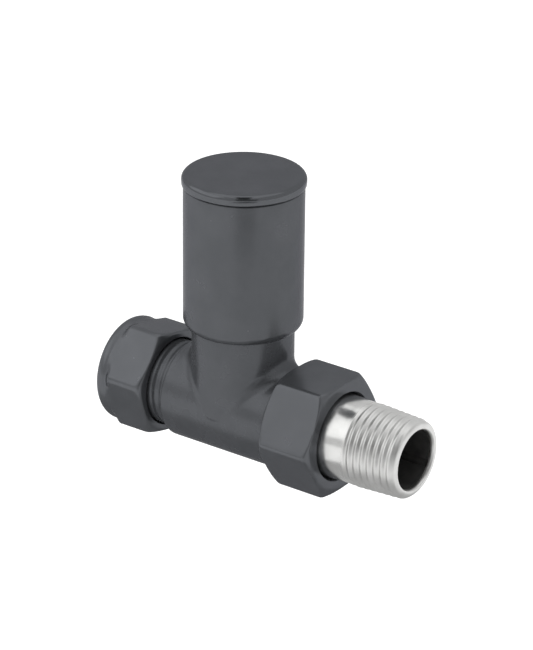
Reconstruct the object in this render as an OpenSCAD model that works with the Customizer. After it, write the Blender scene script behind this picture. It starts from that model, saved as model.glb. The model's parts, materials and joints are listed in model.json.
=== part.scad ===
// Lockshield radiator valve, straight pattern, 15 mm pipe by 1/2 inch radiator tail.
// The pipe axis is X and the spindle axis is Z; the origin is in the mouth of the pipe socket.
// All sizes are in millimetres.

/* [Pipe] */
// Radius of the copper pipe
pipe_r = 7.5; // [5:0.5:8]
// Radial clearance between pipe and socket
pipe_gap = 0.1; // [0.05:0.01:0.2]
// Depth of the pipe socket's straight wall
socket_l = 13.0; // [8:0.5:16]

/* [Body] */
// Distance from the socket mouth to the spindle axis
spindle_x = 27.0; // [26:0.1:28]
// Outside radius of the horizontal barrel
barrel_r = 12.05; // [11:0.05:13]
// Start of the barrel, at the shoulder behind the pipe thread
barrel_x0 = 11.1; // [11:0.1:12]
// End of the barrel, at the union nut
barrel_x1 = 41.8; // [41:0.1:42]
// Outside radius of the neck under the cap
neck_r = 12.2; // [11:0.05:12.3]
// Top of the neck
neck_z = 23.5; // [22:0.1:24]
// Radius of the flow bores
flow_r = 5.5; // [3:0.1:6]
// Radius of the valve seat's hole
seat_r = 4.3; // [3:0.1:5]
// Height of the valve seat's lip
seat_z = 2.0; // [1.5:0.1:2]
// Radius of the chamber above the seat
chamber_r = 8.2; // [7:0.1:9]

/* [Threads] */
// Outside radius of the 1/2 inch parallel pipe thread
pipe_thread_r = 10.45; // [10.2:0.01:10.6]
// Outside radius of the 5/8 inch parallel union thread
union_thread_r = 11.45; // [11:0.01:11.6]
// Pitch of the pipe threads, 14 per inch
thread_p = 1.814; // [1.7:0.001:1.82]
// Depth of the pipe threads
thread_d = 1.16; // [0.5:0.01:1.2]
// Radial clearance of each nut on its thread
thread_gap = 0.05; // [0.01:0.01:0.1]
// Crest radius of the radiator thread at its large end
tail_thread_r = 10.55; // [10.4:0.01:10.6]
// Crest radius lost with each turn of the radiator thread
tail_taper = 0.0567; // [0:0.0001:0.06]
// Turns of the radiator thread
tail_turns = 7; // [3:1:7]

/* [Compression nut] */
// Size across flats
comp_af = 25.0; // [24:0.5:25.5]
// Outer end of the nut
comp_x0 = -8.1; // [-10:0.1:-8]
// Start of the hexagon
comp_hex_x0 = -3.9; // [-4.5:0.1:-3]
// Inner end of the nut
comp_x1 = 6.45; // [5:0.05:8]
// Radius of the round collar
comp_collar_r = 13.0; // [12:0.05:13.5]
// Turn of the hexagon's corner from +Z towards -Y
comp_turn = 19.05; // [0:0.05:60]

/* [Union nut and tail] */
// Size across flats
union_af = 27.0; // [26:0.5:28]
// Inner end of the nut
union_x0 = 42.1; // [42:0.1:43]
// Outer end of the nut
union_x1 = 56.5; // [56:0.1:59]
// Radius of the hole the tail passes through
union_hole_r = 10.65; // [10.6:0.01:11]
// Turn of the hexagon's corner from +Z towards -Y
union_turn = 31.95; // [0:0.05:60]
// Outer end of the tail
tail_x1 = 77.0; // [76.8:0.1:80]
// Radius of the tail's plain collar
tail_collar_r = 10.05; // [9.5:0.05:10.2]
// Start of the radiator thread
tail_thread_x0 = 63.3; // [62:0.1:63.3]
// Radius of the wide bore behind the tail's mouth
key_bore_r = 7.2; // [6.5:0.05:7.4]
// Depth of the wide bore
key_bore_l = 10.5; // [6:0.5:12]
// Width of the two key slots in the wide bore
key_slot_w = 1.5; // [1:0.1:2.5]
// Turn of the key slots from +Z towards -Y
key_turn = 60; // [0:1:90]

/* [Cap] */
// Outside radius of the sleeve
sleeve_r = 14.25; // [14.2:0.05:15]
// Bottom of the sleeve
sleeve_z0 = 21.05; // [20:0.05:21.3]
// Top of the sleeve
sleeve_z1 = 56.25; // [56:0.05:56.3]
// Radius of the top disc
disc_r = 14.65; // [14.3:0.05:15.5]
// Underside of the top disc
disc_z0 = 56.4; // [56.35:0.05:57]
// Top face of the top disc
disc_z1 = 58.95; // [58.5:0.05:60]
// Radius of the bore the liner turns in
sleeve_bore_r = 13.0; // [12.95:0.01:13.1]

/* [Spindle and plug] */
// Radius of the spindle's shank
shank_r = 3.0; // [2.7:0.1:3.2]
// Radius of the spindle's thread
spindle_thread_r = 2.5; // [2:0.1:2.7]
// Width of the square drive
drive_w = 4.2; // [3:0.1:4.2]
// Top of the square drive
drive_z = 45.0; // [40:0.5:50]
// Size across flats of the plug's guide
guide_af = 9.0; // [8:0.1:9.4]

/* [Hidden] */
$fn = 96;

// overrun of a cut past a face
over = 1;
// clearance of a rubber or washer in its groove
ring_gap = 0.02;
// clearance of a turning or sliding fit
run_gap = 0.05;

// pipe socket, olive seat and the ridges of the pipe thread
socket_r = pipe_r + pipe_gap;
socket_x0 = -0.3;
socket_x1 = socket_x0 + socket_l;
olive_seat_r = 9.4;
nose_r = 9.75;
body_x0 = -3.0;
inlet_x1 = 17.4;
pipe_thread_x0 = -2.7;
pipe_turns = 7;
shoulder_round = 1;

// passage from the inlet to the space under the seat
port_r = 3.4;
port_z = -4.4;
port_x0 = 15;
port_end = 4;
well_z = -7;
// ring channel round the seat's lip
lip_r = 5.6;
channel_z = 1.2;

// outlet and the counterbore for the tail's spigot
outlet_x0 = 33.4;
spigot_r = 9.0;
spigot_x0 = 47.2;
body_x1 = 51.5;
recess_x = 54.6;

// headwork; a groove is its inner radius and its two stations
bonnet_r = 9.5;
bonnet_z0 = 12.5;
bonnet_seat_z = 12;
bonnet_groove = [8.0, 13.4, 15.2];
bonnet_af = 20;
bonnet_round_r = 11.6;
hex_z1 = 28.5;
boss_r = 7.5;
boss_z1 = 33.0;
snap_groove = [6.9, 29.9, 31.4];
wall_z = 19.2;
gland_z = 21.0;
gland_r = 4.5;

// stack above the spindle's collar
collar_z1 = 23.1;
slip_z = [23.2, 23.7];
washer_z = [24.0, 24.6];
packing_z = [24.65, 27.4];
gland_nut_z0 = 27.45;
gland_nut_z1 = 36.6;
gland_nut_af = 11;
gland_nut_round_r = 6.4;
o_ring_room = [3.9, 29.2, 31.1];

// spindle, plug, seat washer and its screw
shank_z1 = 37.4;
spindle_z0 = 11.9;
slot_w = 1;
slot_d = 1.5;
plug_r = 6.6;
plug_z = [4.6, 7.0];
plug_z1 = 15.0;
plug_bore_z0 = 8.2;
screw_r = 1.5;
screw_head_r = 3.4;
screw_slot_w = 0.8;
screw_z0 = 0.65;
washer_hole_r = 1.7;
washer_r = 6.3;
seat_gap = 0.05;

// olive, and the cone that presses it
olive_r = 9.0;
olive_x = [-6.5, -1.0];
cone_x = [-7.0, -4.9];
cone_r = 9.8;

// nut mouths and chamfers; a chamfer is its end face's radius and its length
comp_mouth_r = 8.4;
comp_mouth_l = 0.6;
comp_collar_round = 1.6;
comp_chamfer_out = 0.8;
comp_chamfer_in = [12.35, 1.2];
union_chamfer_in = [13.35, 1.3];
union_chamfer_out = [12.9, 1.3];
union_mouth_r = 12.1;
union_mouth_l = 0.6;
relief_r = 11.0;

// tail; the key slots run between two depths from its mouth
tail_bore_r = 5.6;
flange_r = 11.35;
face_gap = 0.15;
tail_ring_groove = [7.9, 48.4, 50.4];
tail_ring = [8.46, 49.4, 0.53];
thread_start_r = 9.35;
tail_end_r = 7.85;
tail_mouth_r = 7.6;
tail_mouth_l = 1.1;
key_slot_r = 7.65;
key_slot_x = [9.5, 0.6];

// cap
liner_r = 11.8;
liner_z = [24.3, 53.6];
hub_r = 9.2;
hub_z = [28.9, 35.5];
web_z0 = 33.5;
lip_in_r = 12.5;
lip_z1 = 24.0;
foot_round = 1.7;
rim_round = 1.1;
rim_under = 0.3;
cap_spigot_z0 = 54.1;
cap_recess = [11.4, 55.6];
cap_groove = [12.0, 54.8, 55.8];

// profile of radius and height turned about the spindle axis
module spin_z() translate([spindle_x, 0, 0]) rotate_extrude() children();

// profile of radius and distance turned about the pipe axis
module spin_x() rotate([0, 90, 0]) rotate_extrude() children();

// ring profile between two radii and two stations
module band(r0, r1, a, b) translate([r0, a]) square([r1 - r0, b - a]);

// profile that cuts a groove from an outer radius
module groove(g, r1) band(g[0], r1, g[1], g[2]);

// solid hexagonal bar along the pipe axis, corner turned from +Z towards -Y
module hex_x(af, a, b, turn)
    translate([a, 0, 0]) rotate([turn, 0, 0]) rotate([0, 90, 0])
        cylinder(r = af / 2 / cos(30), h = b - a, $fn = 6);

// solid hexagonal bar along the spindle axis
module hex_z(af, a, b)
    translate([spindle_x, 0, a]) cylinder(r = af / 2 / cos(30), h = b - a, $fn = 6);

// round rubber ring about the spindle axis
module ring_z(ri, ro, z)
    spin_z() translate([(ri + ro) / 2, z]) circle(r = (ro - ri) / 2);

// distance from the axis to a hexagon's corner, with a little to spare
function corner(af) = af / 2 / cos(30) + 0.02;

// ridged outline of a thread, one ridge per turn, radius falling by drop each turn
function ridges(a, n, r, d, drop) = [for (i = [0:n - 1]) each [
    [r - i * drop - d, a + (i + 0.08) * thread_p],
    [r - i * drop, a + (i + 0.42) * thread_p],
    [r - i * drop, a + (i + 0.66) * thread_p],
    [r - i * drop - d, a + (i + 1) * thread_p]]];

// inlet thread, barrel with a rounded shoulder, and outlet thread
module barrel() spin_x() difference() {
    union() {
        band(0, barrel_r, barrel_x0, barrel_x1);
        band(0, union_thread_r, barrel_x1 - over, body_x1);
        polygon(concat([[0, body_x0], [nose_r, body_x0]],
            ridges(pipe_thread_x0, pipe_turns, pipe_thread_r, thread_d, 0),
            [[pipe_thread_r - thread_d, barrel_x0 + over], [0, barrel_x0 + over]]));
    }
    difference() {
        translate([barrel_r - shoulder_round, barrel_x0 - shoulder_round])
            square(2 * shoulder_round);
        translate([barrel_r - shoulder_round, barrel_x0 + shoulder_round])
            circle(r = shoulder_round);
    }
}

// straight-pattern body: pipe socket, seat chamber, neck and union end
module valve_body() color("#5b5e61") difference() {
    union() {
        barrel();
        translate([spindle_x, 0, 0]) cylinder(r = neck_r, h = neck_z);
    }
    spin_x() polygon([[0, body_x0 - over], [olive_seat_r, body_x0 - over],
        [olive_seat_r, body_x0], [socket_r, socket_x0], [socket_r, socket_x1],
        [flow_r, socket_x1], [flow_r, inlet_x1], [0, inlet_x1]]);
    spin_x() polygon([[0, outlet_x0], [flow_r, outlet_x0], [flow_r, spigot_x0],
        [spigot_r, spigot_x0], [spigot_r, body_x1 + over], [0, body_x1 + over]]);
    translate([port_x0, 0, port_z]) rotate([0, 90, 0])
        cylinder(r = port_r, h = spindle_x + port_end - port_x0);
    spin_z() union() {
        band(0, seat_r, well_z, bonnet_seat_z);
        band(lip_r, chamber_r, channel_z, bonnet_seat_z);
        band(0, chamber_r, seat_z, bonnet_seat_z);
        band(0, bonnet_r, bonnet_seat_z, neck_z + over);
    }
}

// brass headwork screwed into the neck, carries the spindle and guides the plug
module bonnet() color("#b99a52") difference() {
    union() {
        spin_z() difference() {
            union() {
                band(0, bonnet_r - 2 * run_gap, bonnet_z0, neck_z + over / 2);
                band(0, boss_r, hex_z1 - over, boss_z1);
            }
            groove(bonnet_groove, bonnet_r + over);
            groove(snap_groove, boss_r + over);
        }
        intersection() {
            hex_z(bonnet_af, neck_z, hex_z1);
            spin_z() polygon([[0, neck_z], [bonnet_round_r - 0.8, neck_z],
                [bonnet_round_r, neck_z + 0.5], [bonnet_round_r, hex_z1 - 0.5],
                [bonnet_round_r - 1, hex_z1], [0, hex_z1]]);
        }
    }
    hex_z(guide_af + 4 * run_gap, bonnet_z0 - over, wall_z);
    spin_z() band(0, shank_r + run_gap, wall_z - over, gland_z + over);
    spin_z() band(0, gland_r, gland_z, boss_z1 + over);
}

// seals the headwork in the neck
module bonnet_o_ring() color("#1c1c1c")
    spin_z() band(bonnet_groove[0] + run_gap, bonnet_r - ring_gap,
        bonnet_groove[1] + 2 * run_gap, bonnet_groove[2] - 2 * run_gap);

// brass washer under the packing
module gland_washer() color("#b99a52")
    spin_z() band(shank_r + 2 * run_gap, gland_r - 0.03, washer_z[0], washer_z[1]);

// packing pressed round the spindle
module gland_packing() color("#e6e2d8")
    spin_z() band(shank_r + run_gap, gland_r - ring_gap, packing_z[0], packing_z[1]);

// hexagonal nut that presses the packing
module gland_nut() color("#b99a52") difference() {
    union() {
        spin_z() band(0, gland_r - run_gap, gland_nut_z0, boss_z1 + over);
        intersection() {
            hex_z(gland_nut_af, boss_z1 + 2 * run_gap, gland_nut_z1);
            spin_z() polygon([[0, boss_z1], [gland_nut_round_r, boss_z1],
                [gland_nut_round_r, gland_nut_z1 - 0.5],
                [gland_nut_round_r - 0.7, gland_nut_z1], [0, gland_nut_z1]]);
        }
    }
    spin_z() union() {
        band(0, shank_r + run_gap, gland_nut_z0 - over, gland_nut_z1 + over);
        band(0, o_ring_room[0], o_ring_room[1], o_ring_room[2]);
    }
}

// turns without rising; the lower thread lifts the plug, the square takes a key
module spindle() color("#b99a52") union() {
    spin_z() union() {
        band(0, spindle_thread_r, spindle_z0, wall_z - 0.2);
        band(0, shank_r, wall_z - 0.3, shank_z1);
        band(0, gland_r - 2 * run_gap, gland_z + 2 * run_gap, collar_z1);
    }
    difference() {
        translate([spindle_x - drive_w / 2, -drive_w / 2, shank_z1 - 0.4])
            cube([drive_w, drive_w, drive_z - shank_z1 + 0.4]);
        translate([spindle_x - drive_w, -slot_w / 2, drive_z - slot_d])
            cube([2 * drive_w, slot_w, 2 * slot_d]);
    }
}

// seals the spindle inside the gland nut
module spindle_o_ring() color("#1c1c1c")
    ring_z(shank_r + 0.01, o_ring_room[0] - ring_gap, (o_ring_room[1] + o_ring_room[2]) / 2);

// low-friction washer on the spindle's collar
module slip_washer() color("#e6e2d8")
    spin_z() band(shank_r + run_gap, gland_r - 2 * run_gap, slip_z[0], slip_z[1]);

// hexagonal carrier that rises with the seat washer
module plug() color("#b99a52") difference() {
    union() {
        spin_z() band(0, plug_r, plug_z[0], plug_z[1]);
        hex_z(guide_af, plug_z[1] - 0.1, plug_z1);
    }
    spin_z() band(0, spindle_thread_r + run_gap, plug_bore_z0, plug_z1 + over);
    spin_z() band(0, screw_r + run_gap, plug_z[0] - over, plug_bore_z0 + 0.1);
}

// rubber disc that closes on the seat
module seat_washer() color("#1c1c1c")
    spin_z() band(washer_hole_r, washer_r, seat_z + seat_gap, plug_z[0] - seat_gap);

// screw that holds the seat washer on the plug
module washer_screw() color("#b99a52") difference() {
    spin_z() union() {
        polygon([[0, screw_z0], [screw_head_r - 0.8, screw_z0], [screw_head_r, screw_z0 + 0.7],
            [screw_head_r, seat_z], [0, seat_z]]);
        band(0, screw_r, seat_z - 0.5, plug_bore_z0 - 0.3);
    }
    translate([spindle_x - 4, -screw_slot_w / 2, screw_z0 - 0.6]) cube([8, screw_slot_w, 1.2]);
}

// brass compression ring on the pipe
module olive() color("#c8a458")
    spin_x() polygon([[pipe_r + run_gap, olive_x[0]], [olive_r - 1.05, olive_x[0]],
        [olive_r, olive_x[0] + 1.1], [olive_r, olive_x[1] - 1.65],
        [olive_r - 1.1, olive_x[1]], [pipe_r + run_gap, olive_x[1]]]);

// 25 mm nut with a round domed collar, holds the pipe
module compression_nut() color("#5b5e61") difference() {
    union() {
        intersection() {
            hex_x(comp_af, comp_hex_x0 - over, comp_x1, comp_turn);
            spin_x() polygon([[0, comp_hex_x0 - over], [comp_collar_r, comp_hex_x0 - over],
                [comp_collar_r + run_gap, comp_hex_x0],
                [corner(comp_af), comp_hex_x0 + comp_chamfer_out],
                [corner(comp_af), comp_x1 - comp_chamfer_in[1]],
                [comp_chamfer_in[0], comp_x1], [0, comp_x1]]);
        }
        spin_x() union() {
            band(0, comp_collar_r - comp_collar_round, comp_x0, comp_hex_x0);
            band(0, comp_collar_r, comp_x0 + comp_collar_round, comp_hex_x0);
            translate([comp_collar_r - comp_collar_round, comp_x0 + comp_collar_round])
                circle(r = comp_collar_round);
        }
    }
    spin_x() polygon([[0, comp_x0 - over], [comp_mouth_r, comp_x0 - over],
        [comp_mouth_r, comp_x0], [socket_r + run_gap, comp_x0 + comp_mouth_l],
        [socket_r + run_gap, cone_x[0]], [cone_r, cone_x[1]],
        [pipe_thread_r + thread_gap, cone_x[1]],
        [pipe_thread_r + thread_gap, comp_x1 - comp_mouth_l],
        [relief_r, comp_x1], [relief_r, comp_x1 + over], [0, comp_x1 + over]]);
}

// radiator tail: sealing spigot, flange, plain collar, tapered thread and slotted mouth
module tail() color("#d9dadb") difference() {
    spin_x() difference() {
        polygon(concat([[0, spigot_x0 + 0.3], [spigot_r - 0.1, spigot_x0 + 0.3],
            [spigot_r - 0.1, body_x1 + face_gap], [flange_r, body_x1 + face_gap],
            [flange_r, recess_x - face_gap], [tail_collar_r, recess_x - face_gap],
            [tail_collar_r, tail_thread_x0 - 0.6], [thread_start_r, tail_thread_x0 - 0.2]],
            ridges(tail_thread_x0, tail_turns, tail_thread_r, thread_d, tail_taper),
            [[9.1, tail_x1 - 1], [8.5, tail_x1 - 0.4], [tail_end_r, tail_x1], [0, tail_x1]]));
        groove(tail_ring_groove, spigot_r + over);
    }
    spin_x() union() {
        band(0, tail_bore_r, spigot_x0 - over, tail_x1);
        band(0, key_bore_r, tail_x1 - key_bore_l, tail_x1);
        polygon([[0, tail_x1 - tail_mouth_l], [key_bore_r, tail_x1 - tail_mouth_l],
            [tail_mouth_r, tail_x1], [tail_mouth_r, tail_x1 + over], [0, tail_x1 + over]]);
    }
    rotate([key_turn, 0, 0])
        translate([tail_x1 - key_slot_x[0], -key_slot_w / 2, -key_slot_r])
            cube([key_slot_x[0] - key_slot_x[1], key_slot_w, 2 * key_slot_r]);
}

// seals the tail's spigot in the body
module tail_o_ring() color("#1c1c1c")
    spin_x() translate([tail_ring[0], tail_ring[1]]) circle(r = tail_ring[2]);

// 27 mm nut that pulls the tail's flange onto the body
module union_nut() color("#5b5e61") difference() {
    intersection() {
        hex_x(union_af, union_x0, union_x1, union_turn);
        spin_x() polygon([[0, union_x0], [union_chamfer_in[0], union_x0],
            [corner(union_af), union_x0 + union_chamfer_in[1]],
            [corner(union_af), union_x1 - union_chamfer_out[1]],
            [union_chamfer_out[0], union_x1], [0, union_x1]]);
    }
    spin_x() polygon([[0, union_x0 - over], [union_mouth_r, union_x0 - over],
        [union_mouth_r, union_x0], [union_thread_r + thread_gap, union_x0 + union_mouth_l],
        [union_thread_r + thread_gap, recess_x], [union_hole_r, recess_x],
        [union_hole_r, union_x1 + over], [0, union_x1 + over]]);
}

// plastic insert that grips the headwork while the sleeve spins round it
module cap_liner() color("#2b2b2d") spin_z() union() {
    band(liner_r, sleeve_bore_r - 2 * run_gap, liner_z[0], liner_z[1]);
    band(boss_r + 0.08, hub_r, hub_z[0], hub_z[1]);
    band(hub_r - 0.2, liner_r + 0.2, web_z0, hub_z[1]);
}

// cylindrical cover, free to spin so that it cannot open the valve
module cap_sleeve() color("#5b5e61") spin_z() difference() {
    union() {
        band(lip_in_r, sleeve_r - foot_round, sleeve_z0, sleeve_z1);
        band(lip_in_r, sleeve_r, sleeve_z0 + foot_round, sleeve_z1);
        difference() {
            translate([sleeve_r - foot_round, sleeve_z0 + foot_round]) circle(r = foot_round);
            band(0, lip_in_r + 0.01, sleeve_z0 - over, sleeve_z1);
        }
    }
    band(0, sleeve_bore_r, lip_z1, sleeve_z1 + over);
}

// lift-off disc with a spigot in the sleeve
module cap_top_disc() color("#5b5e61") spin_z() difference() {
    union() {
        band(0, disc_r - rim_under, disc_z0, disc_z0 + over);
        band(0, disc_r, disc_z0 + rim_under, disc_z1 - rim_round);
        band(0, disc_r - rim_round, disc_z0 + rim_under, disc_z1);
        intersection() {
            translate([disc_r - rim_round, disc_z1 - rim_round]) circle(r = rim_round);
            band(0, disc_r + over, disc_z1 - rim_round - 0.1, disc_z1);
        }
        band(0, sleeve_bore_r - 3 * run_gap, cap_spigot_z0, disc_z0 + over / 2);
    }
    band(0, cap_recess[0], cap_spigot_z0 - over, cap_recess[1]);
    groove(cap_groove, sleeve_bore_r + over);
}

// grips the disc's spigot in the sleeve
module disc_o_ring() color("#1c1c1c")
    ring_z(cap_groove[0] + 2 * ring_gap, sleeve_bore_r - ring_gap,
        (cap_groove[1] + cap_groove[2]) / 2);

valve_body();
bonnet();
bonnet_o_ring();
gland_washer();
gland_packing();
gland_nut();
spindle();
spindle_o_ring();
slip_washer();
plug();
seat_washer();
washer_screw();
olive();
compression_nut();
tail();
tail_o_ring();
union_nut();
cap_liner();
cap_sleeve();
cap_top_disc();
disc_o_ring();
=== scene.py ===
"""Looks for the straight lockshield radiator valve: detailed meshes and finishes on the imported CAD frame.

Frame: metres, X along the pipe towards the radiator tail, Z up the spindle, origin in the mouth of the
pipe socket. Shapes are worked out in millimetres and scaled as each mesh is made.
"""
import json
import math

import bpy
import numpy as np
from mathutils import Matrix, Vector


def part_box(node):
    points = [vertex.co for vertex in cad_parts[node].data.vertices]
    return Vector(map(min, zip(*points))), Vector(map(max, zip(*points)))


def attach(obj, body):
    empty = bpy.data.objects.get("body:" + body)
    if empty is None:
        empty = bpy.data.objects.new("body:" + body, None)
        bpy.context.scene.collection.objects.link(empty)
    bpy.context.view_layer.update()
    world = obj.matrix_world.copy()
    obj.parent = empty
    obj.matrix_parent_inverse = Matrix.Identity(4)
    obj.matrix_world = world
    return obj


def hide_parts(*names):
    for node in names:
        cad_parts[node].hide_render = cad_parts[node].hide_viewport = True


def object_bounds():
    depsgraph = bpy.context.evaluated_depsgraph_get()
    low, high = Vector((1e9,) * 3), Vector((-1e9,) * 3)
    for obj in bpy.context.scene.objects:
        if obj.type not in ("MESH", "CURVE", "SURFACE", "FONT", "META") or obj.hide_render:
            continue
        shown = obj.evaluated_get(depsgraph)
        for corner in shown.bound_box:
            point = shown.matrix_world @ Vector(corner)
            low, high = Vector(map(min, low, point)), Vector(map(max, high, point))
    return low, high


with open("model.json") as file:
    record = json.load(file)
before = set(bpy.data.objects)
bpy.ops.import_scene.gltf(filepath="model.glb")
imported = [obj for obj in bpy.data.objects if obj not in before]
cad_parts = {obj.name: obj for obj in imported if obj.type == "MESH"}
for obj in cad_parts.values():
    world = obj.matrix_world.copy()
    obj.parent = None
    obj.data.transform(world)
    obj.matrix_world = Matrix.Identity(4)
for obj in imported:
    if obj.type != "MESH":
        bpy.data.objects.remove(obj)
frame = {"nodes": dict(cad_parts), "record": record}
cad_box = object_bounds()

MM = 0.001
NODES = frame["nodes"]


def station(node, axis, end):
    """Lowest (end 0) or highest (end 1) coordinate of a CAD node along an axis, in millimetres."""
    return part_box(node)[end][axis] / MM


SPINDLE_X = (station("cap_sleeve", 0, 0) + station("cap_sleeve", 0, 1)) / 2
PITCH = 25.4 / 14
LATHE_SEGMENTS = 256

# radii and stations of hidden fits that more than one piece shares, in millimetres
PIPE_BORE_R = 7.6
WATER_WAY_R = 5.5
PIPE_THREAD_R = 10.45
UNION_THREAD_R = 11.45
THREAD_PLAY = 0.05
NUT_MOUTH = 0.6
UNION_FLANGE_X = 54.6
CONE_X = (-7.0, -4.9)


# ---------------------------------------------------------------- mesh helpers

def new_object(name, verts, faces, material, body, replaces, smooth):
    """Make a mesh from millimetre points, give it its finish and let it ride on a body."""
    mesh = bpy.data.meshes.new(name)
    mesh.from_pydata((np.asarray(verts, float) * MM).tolist(), [], faces)
    mesh.validate()
    mesh.materials.append(material)
    mesh.shade_smooth()
    mesh.set_sharp_from_angle(angle=math.radians(smooth))
    obj = bpy.data.objects.new(name, mesh)
    bpy.context.scene.collection.objects.link(obj)
    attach(obj, body)
    for node in replaces:
        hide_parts(node)
    return obj


def grid_faces(rows, cols):
    """Quads between rings of points; every ring is closed, and the last ring joins the first."""
    faces = []
    for i in range(rows):
        a, b = i * cols, (i + 1) % rows * cols
        for j in range(cols):
            k = (j + 1) % cols
            faces.append((a + j, a + k, b + k, b + j))
    return faces


def about_x(x, r, t):
    """Points at distance x along the pipe, radius r and angle t turned from +Z towards -Y."""
    x, r, t = np.broadcast_arrays(x, r, t)
    return np.stack([x, -r * np.sin(t), r * np.cos(t)], -1)


def about_z(z, r, t):
    """Points at height z, radius r and angle t round the spindle axis."""
    z, r, t = np.broadcast_arrays(z, r, t)
    return np.stack([SPINDLE_X + r * np.cos(t), r * np.sin(t), z], -1)


def turns(n):
    """Angles of n even steps round a circle."""
    return np.linspace(0, 2 * math.pi, n, endpoint=False)


def arc(cr, cs, rr, rs, a0, a1, n=8):
    """Elliptic arc of (radius, station) points about (cr, cs); degrees from the radial direction."""
    return [(cr + rr * math.cos(math.radians(a)), cs + rs * math.sin(math.radians(a)))
            for a in np.linspace(a0, a1, n)]


def lathe(name, profile, place, material, body, replaces):
    """Turn a closed (radius, station) outline about the pipe or spindle axis."""
    t = turns(LATHE_SEGMENTS)
    outline = np.array(profile, float)
    verts = np.concatenate([place(s, r, t) for r, s in outline])
    faces = grid_faces(len(outline), LATHE_SEGMENTS)
    return new_object(name, verts, faces, material, body, replaces, 35)


def hexagon_radius(t, across, corner):
    """Polar radius of a hexagon with rounded corners; t is measured from a corner."""
    a = across / 2
    t = (t + math.pi / 6) % (math.pi / 3) - math.pi / 6
    flat = a / np.cos(math.pi / 6 - np.abs(t))
    centre = (a - corner) / math.cos(math.pi / 6)
    inside = np.clip(corner ** 2 - (centre * np.sin(t)) ** 2, 0, None)
    tangent = math.pi / 6 - math.atan((a - corner) * math.tan(math.pi / 6) / a)
    return np.where(np.abs(t) < tangent, centre * np.cos(t) + np.sqrt(inside), flat)


def hexagon_angles(across, corner, n_corner=9, n_flat=10):
    """Angles, from a corner, that put points where each rounded corner begins and ends."""
    a = across / 2
    tangent = math.pi / 6 - math.atan((a - corner) * math.tan(math.pi / 6) / a)
    near = np.linspace(-tangent, tangent, n_corner, endpoint=False)
    far = np.linspace(tangent, math.pi / 3 - tangent, n_flat, endpoint=False)
    one = np.concatenate([near, far])
    return np.concatenate([one + k * math.pi / 3 for k in range(6)])


# ---------------------------------------------------------------- finishes

def shader(name, color, metallic, roughness):
    """A Principled material; its nodes, links and shader."""
    mat = bpy.data.materials.new(name)
    mat.use_nodes = True
    nodes, links = mat.node_tree.nodes, mat.node_tree.links
    bsdf = nodes["Principled BSDF"]
    bsdf.inputs["Base Color"].default_value = (*color, 1)
    bsdf.inputs["Metallic"].default_value = metallic
    bsdf.inputs["Roughness"].default_value = roughness
    return mat, nodes, links, bsdf


def noise(nodes, links, scale, detail=3.0, stretch=None):
    """Noise over the object's own coordinates, in features per metre."""
    coords = nodes.new("ShaderNodeTexCoord")
    tex = nodes.new("ShaderNodeTexNoise")
    tex.inputs["Scale"].default_value = scale
    tex.inputs["Detail"].default_value = detail
    if stretch:
        mapping = nodes.new("ShaderNodeMapping")
        mapping.inputs["Scale"].default_value = stretch
        links.new(coords.outputs["Object"], mapping.inputs["Vector"])
        links.new(mapping.outputs["Vector"], tex.inputs["Vector"])
    else:
        links.new(coords.outputs["Object"], tex.inputs["Vector"])
    return tex


def spread(nodes, links, source, low, high, lo_in=0.25, hi_in=0.75):
    """Map a noise value onto a range."""
    m = nodes.new("ShaderNodeMapRange")
    m.interpolation_type = "SMOOTHSTEP"
    m.inputs["From Min"].default_value = lo_in
    m.inputs["From Max"].default_value = hi_in
    m.inputs["To Min"].default_value = low
    m.inputs["To Max"].default_value = high
    links.new(source, m.inputs["Value"])
    return m.outputs["Result"]


def tint(nodes, links, factor, dark, light):
    """Blend two colours by a value."""
    ramp = nodes.new("ShaderNodeValToRGB")
    ramp.color_ramp.elements[0].color = (*dark, 1)
    ramp.color_ramp.elements[1].color = (*light, 1)
    ramp.color_ramp.interpolation = "EASE"
    ramp.color_ramp.elements[0].position = 0.25
    ramp.color_ramp.elements[1].position = 0.75
    links.new(factor, ramp.inputs["Fac"])
    return ramp.outputs["Color"]


def bump(nodes, links, height, distance, strength):
    """Surface relief from a height value; distance in metres."""
    b = nodes.new("ShaderNodeBump")
    b.inputs["Distance"].default_value = distance
    b.inputs["Strength"].default_value = strength
    links.new(height, b.inputs["Height"])
    return b.outputs["Normal"]


def anthracite(name, metallic, low, high, tone=1.0):
    """Dark grey plating with a satin skin: faint mottling, fine grain and slightly rubbed patches."""
    mat, nodes, links, bsdf = shader(name, (0.09, 0.092, 0.098), metallic, (low + high) / 2)
    mottle = noise(nodes, links, 160, 4)
    grain = noise(nodes, links, 5200, 2)
    dark, light = [tone * c for c in (0.091, 0.095, 0.102)], [tone * c for c in (0.102, 0.106, 0.114)]
    links.new(tint(nodes, links, mottle.outputs["Fac"], dark, light), bsdf.inputs["Base Color"])
    links.new(spread(nodes, links, mottle.outputs["Fac"], low, high), bsdf.inputs["Roughness"])
    links.new(bump(nodes, links, grain.outputs["Fac"], 0.000004, 0.06), bsdf.inputs["Normal"])
    bsdf.inputs["Specular IOR Level"].default_value = 0
    bsdf.inputs["Specular Tint"].default_value = (0.62, 0.62, 0.64, 1)
    return mat


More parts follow.
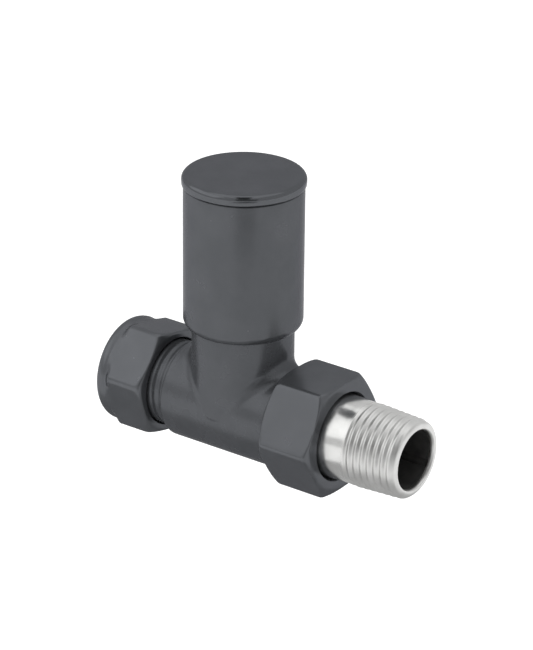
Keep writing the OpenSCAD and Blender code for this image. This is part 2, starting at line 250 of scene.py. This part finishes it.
def bright_plate():
    """Bright plated metal with drawn turning marks, thin handling haze and a duller cut thread."""
    mat, nodes, links, bsdf = shader("bright_plate", (0.62, 0.62, 0.61), 1.0, 0.2)
    haze = noise(nodes, links, 260, 4)
    lines = noise(nodes, links, 900, 2, (9.0, 0.4, 0.4))
    links.new(tint(nodes, links, haze.outputs["Fac"], (0.57, 0.57, 0.56), (0.66, 0.66, 0.65)),
              bsdf.inputs["Base Color"])
    split = nodes.new("ShaderNodeSeparateXYZ")
    coords = nodes.new("ShaderNodeTexCoord")
    links.new(coords.outputs["Object"], split.inputs["Vector"])
    thread = station("tail", 0, 1) - 14.0  # about where the cut thread starts
    dull = spread(nodes, links, split.outputs["X"], 0.0, 0.16, (thread - 1) * MM, (thread + 0.5) * MM)
    total = nodes.new("ShaderNodeMath")
    links.new(spread(nodes, links, haze.outputs["Fac"], 0.16, 0.24), total.inputs[0])
    links.new(dull, total.inputs[1])
    links.new(total.outputs["Value"], bsdf.inputs["Roughness"])
    links.new(bump(nodes, links, lines.outputs["Fac"], 0.000006, 0.25), bsdf.inputs["Normal"])
    return mat


def painted_shade_bore():
    """Unplated metal inside the tail, rough and blotched; its near-black colour is painted shade for the
    deep bore.
    """
    mat, nodes, links, bsdf = shader("painted_shade_bore", (0.02, 0.02, 0.02), 0.3, 0.7)
    stain = noise(nodes, links, 420, 5)
    # near-black colours: painted shade standing in for the dark inside of the bore
    links.new(tint(nodes, links, stain.outputs["Fac"], (0.035, 0.035, 0.035), (0.06, 0.059, 0.057)),
              bsdf.inputs["Base Color"])
    links.new(spread(nodes, links, stain.outputs["Fac"], 0.6, 0.8), bsdf.inputs["Roughness"])
    links.new(bump(nodes, links, stain.outputs["Fac"], 0.00002, 0.3), bsdf.inputs["Normal"])
    bsdf.inputs["Specular IOR Level"].default_value = 0.2
    return mat


def turned_brass():
    """Bare machined brass: tool lines round the axis and warm tarnish in patches."""
    mat, nodes, links, bsdf = shader("turned_brass", (0.62, 0.43, 0.18), 1.0, 0.28)
    tarnish = noise(nodes, links, 220, 5)
    lines = noise(nodes, links, 1400, 2, (1.0, 1.0, 6.0))
    links.new(tint(nodes, links, tarnish.outputs["Fac"], (0.50, 0.33, 0.13), (0.72, 0.52, 0.24)),
              bsdf.inputs["Base Color"])
    links.new(spread(nodes, links, tarnish.outputs["Fac"], 0.22, 0.38), bsdf.inputs["Roughness"])
    links.new(bump(nodes, links, lines.outputs["Fac"], 0.00001, 0.3), bsdf.inputs["Normal"])
    return mat


def black_rubber():
    """Dull rubber with a talc bloom and moulded grain."""
    mat, nodes, links, bsdf = shader("black_rubber", (0.02, 0.02, 0.02), 0.0, 0.6)
    bloom = noise(nodes, links, 500, 5)
    grain = noise(nodes, links, 6000, 2)
    links.new(tint(nodes, links, bloom.outputs["Fac"], (0.012, 0.012, 0.012), (0.035, 0.035, 0.034)),
              bsdf.inputs["Base Color"])
    links.new(spread(nodes, links, bloom.outputs["Fac"], 0.5, 0.75), bsdf.inputs["Roughness"])
    links.new(bump(nodes, links, grain.outputs["Fac"], 0.00001, 0.3), bsdf.inputs["Normal"])
    return mat


def plastic(name, dark, light, low, high):
    """Moulded plastic with a fine spark-eroded grain."""
    mat, nodes, links, bsdf = shader(name, light, 0.0, (low + high) / 2)
    cloud = noise(nodes, links, 180, 4)
    grain = noise(nodes, links, 4200, 3)
    links.new(tint(nodes, links, cloud.outputs["Fac"], dark, light), bsdf.inputs["Base Color"])
    links.new(spread(nodes, links, cloud.outputs["Fac"], low, high), bsdf.inputs["Roughness"])
    links.new(bump(nodes, links, grain.outputs["Fac"], 0.000012, 0.25), bsdf.inputs["Normal"])
    return mat


ANTHRACITE = anthracite("anthracite", 0.6, 0.2, 0.28)
NUT_ANTHRACITE = anthracite("nut_anthracite", 0.6, 0.2, 0.28, 1.17)
CAST_ANTHRACITE = anthracite("cast_anthracite", 0.5, 0.22, 0.3)
CAP_ANTHRACITE = anthracite("cap_anthracite", 0.8, 0.12, 0.17, 1.1)
BRIGHT = bright_plate()
# painted shade: near-black finish for the inside of the tail's bore
PAINTED_SHADE_BORE = painted_shade_bore()
BRASS = turned_brass()
RUBBER = black_rubber()
BLACK_PLASTIC = plastic("black_plastic", (0.02, 0.02, 0.022), (0.035, 0.035, 0.038), 0.35, 0.5)
WHITE_PLASTIC = plastic("white_plastic", (0.68, 0.66, 0.61), (0.78, 0.76, 0.72), 0.35, 0.5)

SLOT_MATERIAL = {"anthracite": ANTHRACITE, "bright_plate": BRIGHT, "brass": BRASS, "rubber": RUBBER,
                 "black_plastic": BLACK_PLASTIC, "white_plastic": WHITE_PLASTIC}


def finish_cad_nodes():
    """Give every carried-over CAD node the finish of its material slot."""
    for sub in frame["record"]["subparts"]:
        obj = NODES[sub["node"]]
        obj.data.materials.clear()
        obj.data.materials.append(SLOT_MATERIAL[sub["material_slot"]])


# ---------------------------------------------------------------- cap

def cap_sleeve():
    """Sleeve with a rounded foot, a lip round the neck and a plain bore for the liner."""
    z0, z1 = station("cap_sleeve", 2, 0), station("cap_sleeve", 2, 1)
    r = station("cap_sleeve", 1, 1)
    foot = arc(r - 1.75, z0 + 2.1, 1.75, 2.1, -90, 0, 14)
    profile = foot + [(r, (z0 + z1) / 2), (r, z1 - 0.35)] + arc(r - 0.3, z1 - 0.3, 0.3, 0.3, 10, 90, 5)
    profile += [(13.2, z1), (13.0, z1 - 0.2), (13.0, z0 + 2.95), (12.6, z0 + 2.95), (12.5, z0 + 2.7),
                (12.5, z0 + 0.15)]
    return lathe("cap_sleeve_shell", profile, about_z, ANTHRACITE, "cap_sleeve",
                 ["cap_sleeve"])


def cap_top():
    """Top disc: flat face, rounded rim, thin undercut seam and a hollow spigot with a ring groove."""
    z0, z1 = station("cap_sleeve", 2, 1) + 0.15, station("cap_top_disc", 2, 1)
    foot = station("cap_top_disc", 2, 0)
    r = station("cap_top_disc", 1, 1)
    rim = arc(r - 1.15, z1 - 1.3, 1.15, 1.3, 0, 88, 14)
    under = arc(r - 0.45, z0 + 0.45, 0.45, 0.45, -88, 0, 6)
    profile = [(0.02, z1), (6.0, z1), (r - 1.4, z1)] + rim[::-1] + under[::-1]
    profile += [(13.4, z0), (12.85, z0), (12.85, 55.85), (12.75, 55.8), (12.0, 55.8), (12.0, 54.8),
                (12.75, 54.8), (12.85, 54.75), (12.85, foot + 0.3), (12.6, foot), (11.6, foot),
                (11.4, foot + 0.2), (11.4, 55.4), (11.0, 55.6), (0.02, 55.6)]
    return lathe("cap_top_plate", profile, about_z, CAP_ANTHRACITE, "cap_top",
                 ["cap_top_disc"])


# ---------------------------------------------------------------- nuts

def blend_min(a, b, k):
    """Smaller of two values, rounded over a width k where they cross."""
    h = np.clip(0.5 + (b - a) / (2 * k), 0, 1)
    return b * (1 - h) + a * h - k * h * (1 - h)


def nut(name, hexagon, outline, blend, inner, body, node, collar=(), ramp=None):
    """Hexagon nut about the pipe axis, its ends rounded off by a turned outline.

    hexagon is (across flats, corner radius, turn in degrees); outline is the (radius, station) list that
    trims the hexagon, merged over the width blend; inner is the bore from the outer end back; collar is a
    round part before the hexagon and ramp the (radius, start, end) over which it melts into the hexagon.
    """
    across, corner, turn = hexagon
    local = hexagon_angles(across, corner, 13, 16)
    rho = hexagon_radius(local, across, corner)
    t = local + math.radians(turn)
    flat = np.ones_like(rho)
    rows = [about_x(x, r * flat, t) for r, x in collar]
    if ramp:
        r, start, end = ramp
        for k in np.linspace(0, 1, 12):
            m = k * k * (3 - 2 * k)
            rows.append(about_x(start + (end - start) * k, (1 - m) * r + m * rho, t))
    rows += [about_x(x, blend_min(rho, r * flat, blend), t) for r, x in outline]
    rows += [about_x(x, r * flat, t) for r, x in inner]
    faces = [f[::-1] for f in grid_faces(len(rows), len(t))]
    return new_object(name, np.concatenate(rows), faces, NUT_ANTHRACITE, body, [node], 50)


def compression_nut():
    """Domed round collar, a shallow groove, then the hexagon; the bore has the olive's cone."""
    x_out, x_in = station("compression_nut", 0, 0), station("compression_nut", 0, 1)
    r, groove = 13.0, 12.75
    clearance_r = PIPE_BORE_R + THREAD_PLAY
    thread_r = PIPE_THREAD_R + THREAD_PLAY
    dome = [(clearance_r, x_out + 0.7), (8.3, x_out)] + arc(r - 1.65, x_out + 2.1, 1.65, 2.1, -90, 0, 12)
    dome += [(r - 0.06, x_out + 2.5), (groove + 0.06, x_out + 2.85)]
    outline = arc(11.9, x_in - 3.2, 3.1, 3.2, 10, 90, 16)
    inner = [(11.5, x_in), (11.0, x_in), (thread_r, x_in - NUT_MOUTH), (thread_r, CONE_X[1]),
             (9.8, CONE_X[1]), (clearance_r, CONE_X[0])]
    return nut("compression_nut_shell", (25.0, 2.0, 19.05), outline, 1.0, inner,
               "compression_nut", "compression_nut", dome, (groove, x_out + 3.1, x_out + 5.2))


def union_nut():
    """Large nut with both ends of its hexagon rounded off and a hole for the tail."""
    x0, x1 = station("union_nut", 0, 0), station("union_nut", 0, 1)
    outline = [(12.1, x0)] + arc(12.9, x0 + 2.4, 2.9, 2.4, -90, 0, 14)
    outline += arc(12.7, x1 - 2.3, 3.1, 2.3, 0, 90, 14)
    hole_r, thread_r = 10.65, UNION_THREAD_R + THREAD_PLAY
    inner = [(12.0, x1), (hole_r + 0.3, x1), (hole_r, x1 - 0.4), (hole_r, UNION_FLANGE_X),
             (thread_r, UNION_FLANGE_X), (thread_r, x0 + NUT_MOUTH)]
    return nut("union_nut_shell", (27.0, 1.5, 31.95), outline, 0.4, inner, "union_nut", "union_nut")


# ---------------------------------------------------------------- threads

def thread_rings(x0, x1, crest, depth, t, groove, lead_in, lead_out, step=0.1):
    """Rows of points over a right-hand thread.

    crest gives the radius at a station, groove is the station of a groove at angle zero, and the lengths
    lead_in and lead_out are where the groove grows from nothing and dies away.
    """
    rows = []
    for x in np.arange(x0, x1 + step / 2, step):
        turn = (x - groove) / PITCH - t / (2 * math.pi)
        cut = 0.5 + 0.5 * np.cos(2 * math.pi * turn)
        fade = np.clip((x - x0) / lead_in, 0, 1) * np.clip((x1 - x) / lead_out, 0, 1)
        rows.append(about_x(x, crest(x) - depth * fade * (2 - fade) * cut, t))
    return rows


def tail():
    """Plated tail: sealing spigot, flange, collar, tapered thread, rounded nose and slotted key bore."""
    x0, x1 = station("tail", 0, 0), station("tail", 0, 1)
    t = turns(240)
    flange = station("tail", 1, 1)
    thread0, nose = x1 - 14.3, x1 - 1.6
    rows = []
    for r, x in [(5.6, x0 + 0.3), (5.9, x0), (8.6, x0), (8.9, x0 + 0.3), (8.9, 48.35), (8.85, 48.4),
                 (7.95, 48.4), (7.95, 50.4), (8.85, 50.4), (8.9, 50.45), (8.9, 51.6), (9.0, 51.65),
                 (flange - 0.3, 51.65), (flange, 51.95), (flange, 54.2), (flange - 0.2, 54.4), (10.6, 54.45),
                 (10.4, 54.6)]:
        rows.append(about_x(x, r, t))
    neck = station("union_nut", 0, 1)
    rows += [about_x(neck + 4.6 * k, 9.95 + 0.27 * (1 - k) ** 2, t) for k in np.linspace(0, 1, 10)]

    def crest(x):
        slope = 9.97 + 0.2 * min(1, (x - thread0) / 1.5) - (x - thread0) * 0.045
        round_off = np.clip((x - nose) / 1.6, 0, 1)
        return 7.75 + (slope - 7.75) * math.sqrt(1 - round_off ** 2)

    rows += thread_rings(thread0, x1 - 0.15, crest, 0.42, t, x1 - 8.33, 1.2, 2.6)
    rows += [about_x(x, r, t) for r, x in arc(7.7, x1 - 1.1, 0.5, 1.1, 90, 180, 8)]
    plated = len(rows) * len(t)
    offset = np.abs((t - math.radians(60) + math.pi / 2) % math.pi - math.pi / 2) * 7.2
    slotted = 7.2 + 0.45 * np.clip((0.85 - offset) / 0.2, 0, 1)
    key_bore = [(7.2, x1 - 1.15), (slotted, x1 - 1.2), (slotted, x1 - 9.45), (7.2, x1 - 9.5),
                (7.2, x1 - 10.4), (7.0, x1 - 10.5), (5.6, x1 - 10.5)]
    rows += [about_x(x, r, t) for r, x in key_bore]
    verts = np.concatenate(rows)
    faces = [f[::-1] for f in grid_faces(len(rows), len(t))]
    shell = new_object("tail_shell", verts, faces, BRIGHT, "tail", ["tail"], 38)
    # the key bore and water way faces take the near-black painted-shade finish
    shell.data.materials.append(PAINTED_SHADE_BORE)
    for face in shell.data.polygons:
        face.material_index = int(min(face.vertices) >= plated or max(face.vertices) >= plated + len(t))
    return shell


# ---------------------------------------------------------------- body

BARREL_X0, BARREL_X1 = station("valve_body", 0, 0) + 14.1, station("union_nut", 0, 0) - 0.3
BARREL_R, NECK_R, NECK_Z = 12.05, 12.2, station("valve_body", 2, 1)
CROTCH = 3.4
SOCKET_END_X, INLET_END_X, OUTLET_START_X = 12.7, 17.4, 33.4
CHAMBER_R, CHAMBER_Z = 9.5, 12


def rounded_cylinder(along, radial, lo, hi, r, edge):
    """Signed distance to a cylinder with rounded end edges."""
    half = (hi - lo) / 2
    dx = np.abs(along - (lo + hi) / 2) - half + edge
    dr = radial - r + edge
    outside = np.hypot(np.maximum(dx, 0), np.maximum(dr, 0))
    return outside + np.minimum(np.maximum(dx, dr), 0) - edge


def body_distance(p):
    """Signed distance to the forged T: barrel and neck joined by a fillet that dies out at the flanks."""
    x, y, z = p[..., 0] - SPINDLE_X, p[..., 1], p[..., 2]
    across, around = np.hypot(y, z) + 1e-9, np.hypot(x, y) + 1e-9
    barrel = rounded_cylinder(p[..., 0], across, BARREL_X0, BARREL_X1, BARREL_R, 0.8)
    neck = rounded_cylinder(z, around, 0, NECK_Z, NECK_R, 0.4)
    square = np.clip(1 - y * y / (across * around), 0.02, 1)
    k = CROTCH * square
    joined = np.maximum(k, np.minimum(barrel, neck)) - np.hypot(np.maximum(k - barrel, 0),
                                                                np.maximum(k - neck, 0))
    shell = np.where(z > 0, joined, barrel)
    socket = np.maximum(across - PIPE_BORE_R, p[..., 0] - SOCKET_END_X)
    inlet = np.maximum(across - WATER_WAY_R, p[..., 0] - INLET_END_X)
    outlet = np.maximum(across - WATER_WAY_R, OUTLET_START_X - p[..., 0])
    top = np.maximum(around - CHAMBER_R, CHAMBER_Z - z)
    hollow = np.minimum(np.minimum(socket, inlet), np.minimum(outlet, top))
    return np.maximum(shell, -hollow)


def gradient(field, p, h=0.01):
    """Unit direction in which a field grows."""
    g = np.stack([field(p + h * e) - field(p - h * e) for e in np.eye(3)], -1)
    return g / (np.linalg.norm(g, axis=-1, keepdims=True) + 1e-12)


def surface_net(field, low, high, cell):
    """Quad mesh of a signed distance field: one point per crossed cell, then drawn onto the surface."""
    axes = [np.arange(a, b + cell, cell) for a, b in zip(low, high)]
    points = np.stack(np.meshgrid(*axes, indexing="ij"), -1)
    d = field(points)
    inside = d < 0
    n = np.array(inside.shape) - 1
    count, total = np.zeros(n, int), np.zeros((*n, 3))
    for axis in range(3):
        e = np.eye(3, dtype=int)[axis]
        a = tuple(slice(0, s - k) for s, k in zip(inside.shape, e))
        b = tuple(slice(k, s) for s, k in zip(inside.shape, e))
        crossed = inside[a] != inside[b]
        f = np.where(crossed, d[a] / np.where(crossed, d[a] - d[b], 1), 0)
        where = points[a] + f[..., None] * (points[b] - points[a])
        u, v = [k for k in range(3) if k != axis]
        for du in (0, 1):
            for dv in (0, 1):
                cut = [slice(0, s) for s in n]
                cut[u], cut[v] = slice(du, du + n[u]), slice(dv, dv + n[v])
                cut = tuple(cut)
                count += crossed[cut]
                total += np.where(crossed[cut][..., None], where[cut], 0)
    used = count > 0
    index = -np.ones(n, int)
    index[used] = np.arange(used.sum())
    verts = total[used] / count[used][:, None]
    faces = []
    for axis in range(3):
        u, v = (axis + 1) % 3, (axis + 2) % 3
        core = [slice(0, s) for s in n]
        core[u], core[v] = slice(1, n[u]), slice(1, n[v])
        core = tuple(core)
        nxt = list(core)
        nxt[axis] = slice(1, n[axis] + 1)
        first, second = inside[core], inside[tuple(nxt)]
        here = np.argwhere(first != second)
        out = first[first != second]
        base = here + np.array([0 if k == axis else 1 for k in range(3)])
        eu, ev = np.eye(3, dtype=int)[u], np.eye(3, dtype=int)[v]
        quad = [index[tuple((base - s).T)] for s in (eu + ev, ev, 0 * eu, eu)]
        quad = np.stack(quad, -1)
        quad[~out] = quad[~out][:, ::-1]
        faces.append(quad)
    for _ in range(6):
        verts = verts - field(verts)[:, None] * gradient(field, verts) * 0.9
    return verts, np.concatenate(faces).tolist()


def body_shell():
    """The forged T as one smooth mesh."""
    low = (BARREL_X0 - 0.9, -12.9, -12.9)
    high = (BARREL_X1 + 0.9, 12.9, NECK_Z + 0.9)
    verts, faces = surface_net(body_distance, low, high, 0.42)
    return new_object("body_shell", verts, faces, CAST_ANTHRACITE, "body", ["valve_body"], 50)


def pipe_end():
    """Threaded inlet end with the olive's cone and the pipe socket."""
    t = turns(200)
    x0 = station("valve_body", 0, 0)
    rows = [about_x(x, r, t) for r, x in [(PIPE_BORE_R, 12.0), (PIPE_BORE_R, -0.3), (9.35, x0), (9.6, x0)]]

    def crest(x):
        return PIPE_THREAD_R if x > x0 + 0.9 else 9.75 + (x - x0)

    rows += thread_rings(x0 + 0.25, BARREL_X0 + 0.2, crest, 0.14, t, BARREL_X0 - 0.3, 1.0, 0.4)
    rows.append(about_x(BARREL_X0 + 0.8, PIPE_THREAD_R, t))
    verts = np.concatenate(rows)
    faces = [f[::-1] for f in grid_faces(len(rows), len(t))]
    return new_object("pipe_thread", verts, faces, CAST_ANTHRACITE, "body", ["valve_body"], 40)


def union_end():
    """Threaded outlet end with the counterbore for the tail's spigot."""
    t = turns(200)
    x1 = station("valve_body", 0, 1)
    rows = [about_x(x, r, t) for r, x in [(WATER_WAY_R, 36.0), (WATER_WAY_R, 47.2), (9.0, 47.2),
                                          (9.0, x1 - 0.4), (9.4, x1), (10.6, x1)]]

    def crest(x):
        return min(UNION_THREAD_R, 10.9 + (x1 - x))

    ahead = thread_rings(BARREL_X1 - 0.2, x1 - 0.4, crest, 0.9, t, x1, 0.8, 0.9)
    rows += ahead[::-1]
    verts = np.concatenate(rows)
    faces = grid_faces(len(rows), len(t))
    return new_object("union_thread", verts, faces, CAST_ANTHRACITE, "body", ["valve_body"], 40)


# ---------------------------------------------------------------- stage

# camera: degrees, then millimetres from the spindle axis on the pipe axis
AZIMUTH, ELEVATION, ROLL = 36.154, 24.435, 0.582
DISTANCE, LENS = 803.05, 186.53
SHIFT_RIGHT, SHIFT_UP = 5.694, 18.611

# the floor's height and how far cards lie above it, in metres
FLOOR_Z = cad_box[0][2] - 0.05
CARD_GAP = 0.001


def camera():
    """Long-lens view from the front right, a little above."""
    a, e, r = (math.radians(v) for v in (AZIMUTH, ELEVATION, ROLL))
    back = Vector((math.sin(a) * math.cos(e), -math.cos(a) * math.cos(e), math.sin(e)))
    right = Vector((math.cos(a), math.sin(a), 0))
    up = back.cross(right)
    right, up = right * math.cos(r) + up * math.sin(r), up * math.cos(r) - right * math.sin(r)
    place = Vector((SPINDLE_X, 0, 0)) + back * DISTANCE + right * SHIFT_RIGHT + up * SHIFT_UP
    data = bpy.data.cameras.new("camera")
    data.lens = LENS
    data.sensor_width = 36
    data.clip_start, data.clip_end = 0.05, 50
    obj = bpy.data.objects.new("camera", data)
    bpy.context.scene.collection.objects.link(obj)
    turn = Matrix((right, up, back)).transposed().to_4x4()
    obj.matrix_world = Matrix.Translation(place * MM) @ turn
    bpy.context.scene.camera = obj
    return back


def stage_plane(name, centre, towards, size, strength, spin=0.0):
    """A lit or dark card that the camera doesn't see."""
    mesh = bpy.data.meshes.new(name)
    w, h = size[0] / 2, size[1] / 2
    mesh.from_pydata([(-w, -h, 0), (w, -h, 0), (w, h, 0), (-w, h, 0)], [], [(0, 1, 2, 3)])
    mat = bpy.data.materials.new(name)
    mat.use_nodes = True
    nodes, links = mat.node_tree.nodes, mat.node_tree.links
    nodes.clear()
    out = nodes.new("ShaderNodeOutputMaterial")
    emit = nodes.new("ShaderNodeEmission")
    emit.inputs["Color"].default_value = (1, 1, 1, 1)
    emit.inputs["Strength"].default_value = strength
    links.new(emit.outputs["Emission"], out.inputs["Surface"])
    mesh.materials.append(mat)
    obj = bpy.data.objects.new(name, mesh)
    bpy.context.scene.collection.objects.link(obj)
    look = (Vector(towards) - Vector(centre)).to_track_quat("Z", "Y")
    obj.matrix_world = Matrix.Translation(centre) @ look.to_matrix().to_4x4() @ Matrix.Rotation(spin, 4, "Z")
    obj.visible_camera = False
    obj.visible_shadow = False
    return obj


def floor():
    """Pale seamless floor a little below the valve, which hangs on its pipe."""
    mesh = bpy.data.meshes.new("floor")
    mesh.from_pydata([(-4, -4, 0), (4, -4, 0), (4, 4, 0), (-4, 4, 0)], [], [(0, 1, 2, 3)])
    mat, nodes, links, bsdf = shader("floor", (0.86, 0.86, 0.86), 0.0, 0.7)
    fleck = noise(nodes, links, 40, 3)
    links.new(tint(nodes, links, fleck.outputs["Fac"], (0.85, 0.85, 0.85), (0.87, 0.87, 0.87)),
              bsdf.inputs["Base Color"])
    bsdf.inputs["Emission Color"].default_value = (1, 1, 1, 1)
    bsdf.inputs["Emission Strength"].default_value = 0.42
    mesh.materials.append(mat)
    obj = bpy.data.objects.new("floor", mesh)
    obj.location = (SPINDLE_X * MM, 0, FLOOR_Z)
    bpy.context.scene.collection.objects.link(obj)


def direction(azimuth, elevation):
    """Unit vector; azimuth 0 is towards the front (-Y), positive towards +X, in degrees."""
    a, e = math.radians(azimuth), math.radians(elevation)
    return Vector((math.sin(a) * math.cos(e), -math.cos(a) * math.cos(e), math.sin(e)))


def lights():
    """White room, a large soft box at the front left and a dark gap around the camera."""
    world = bpy.data.worlds.new("world")
    bpy.context.scene.world = world
    world.use_nodes = True
    world.node_tree.nodes["Background"].inputs["Color"].default_value = (1, 1, 1, 1)
    world.node_tree.nodes["Background"].inputs["Strength"].default_value = 0.8
    middle = Vector((SPINDLE_X * MM, 0, 0.01))
    up = Vector((0, 0, 1))
    table = Vector((SPINDLE_X * MM, 0, FLOOR_Z + CARD_GAP))
    front = direction(AZIMUTH, 0)
    stage_plane("soft_box", middle + direction(-50, 38) * 0.9, middle, (1.1, 0.62), 1.5)
    stage_plane("top_box", middle + up * 1.2, middle, (1.5, 1.5), 1.25)
    stage_plane("dark_gap", middle + direction(AZIMUTH, 50) * 0.8, middle, (0.26, 1.05), 0.0)
    stage_plane("dark_low", middle + direction(AZIMUTH + 5, 22) * 0.75, middle, (0.5, 0.36), 0.15)
    stage_plane("table_shade", table, table + up, (0.22, 0.14), 0.52)
    stage_plane("table_gap", table + front * 0.32, table + up, (0.2, 0.4), 0.35, spin=math.radians(AZIMUTH))
    stage_plane("table_back", table + direction(-150, 0) * 0.4, table + up, (0.6, 0.6), 0.6)


finish_cad_nodes()
cap_sleeve()
cap_top()
compression_nut()
union_nut()
tail()
body_shell()
pipe_end()
union_end()
camera()
floor()
lights()
bpy.context.scene.view_settings.view_transform = "Standard"
